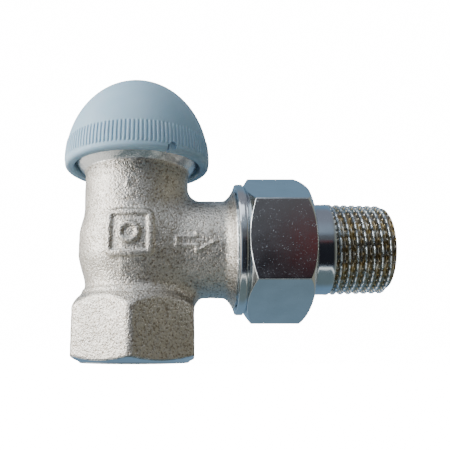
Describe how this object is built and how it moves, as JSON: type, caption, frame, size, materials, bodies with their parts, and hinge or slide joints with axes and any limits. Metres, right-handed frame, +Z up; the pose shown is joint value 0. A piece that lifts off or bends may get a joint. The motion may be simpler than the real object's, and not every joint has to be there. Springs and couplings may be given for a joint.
{
  "type": "thermostatic radiator valve",
  "caption": "Angle-pattern radiator valve body with a dome protective cap on its stem, a hexagon inlet with a female thread and a union nut holding a male-threaded tailpiece.",
  "frame": {"origin": "centre of the inlet mouth, on the stem axis, at the bottom face of the inlet hexagon", "axes": "+Z up along the stem towards the cap, +X along the outlet towards the radiator, Y across"},
  "size_m": [0.0752, 0.0344, 0.0674],
  "materials": {
    "nickel_forging": "nickel plated over a shot-blasted forging",
    "nickel_turned": "nickel plated over turned brass, bright",
    "cap_plastic": "moulded satin plastic",
    "turned_brass": "turned brass",
    "stainless": "ground stainless steel",
    "seal_rubber": "smooth moulded rubber",
    "white_polymer": "turned white polymer"
  },
  "bodies": {
    "body": {"valve_body": "nickel_forging", "insert_housing": "turned_brass", "insert_o_ring": "seal_rubber", "guide_bush": "turned_brass", "gland_nut": "turned_brass", "gland_o_ring": "seal_rubber", "pin_o_ring": "seal_rubber", "gland_washer": "white_polymer", "spindle_o_ring": "seal_rubber", "return_spring": "stainless"},
    "stem": {"actuating_pin": "stainless", "spindle": "stainless", "spring_cup": "stainless", "spindle_circlip": "stainless", "disc_holder": "turned_brass", "valve_disc": "seal_rubber", "disc_washer": "stainless", "disc_screw": "stainless"},
    "cap": {"protective_cap": "cap_plastic"},
    "tail": {"tailpiece": "nickel_turned", "tail_o_ring": "seal_rubber"},
    "nut": {"union_nut": "nickel_turned"}
  },
  "joints": [
    {"name": "stem_travel", "type": "slide", "parent": "body", "child": "stem", "axis": [0, 0, 1], "range_m": [-0.0025, 0], "deforming": ["return_spring"]},
    {"name": "cap_turn", "type": "hinge", "parent": "stem", "child": "cap", "pos_m": [0, 0, 0.055], "axis": [0, 0, 1], "range_deg": [-600, 0]},
    {"name": "tail_travel", "type": "slide", "parent": "body", "child": "tail", "axis": [1, 0, 0], "range_m": [0, 0.00907]},
    {"name": "nut_turn", "type": "hinge", "parent": "tail", "child": "nut", "pos_m": [0.033, 0, 0.026], "axis": [1, 0, 0], "range_deg": [0, 1800]}
  ],
  "couplings": [
    {"joint": "cap_turn", "follows": "stem_travel", "rad_per_m": 4188.8},
    {"joint": "nut_turn", "follows": "tail_travel", "rad_per_m": 3463.7}
  ]
}
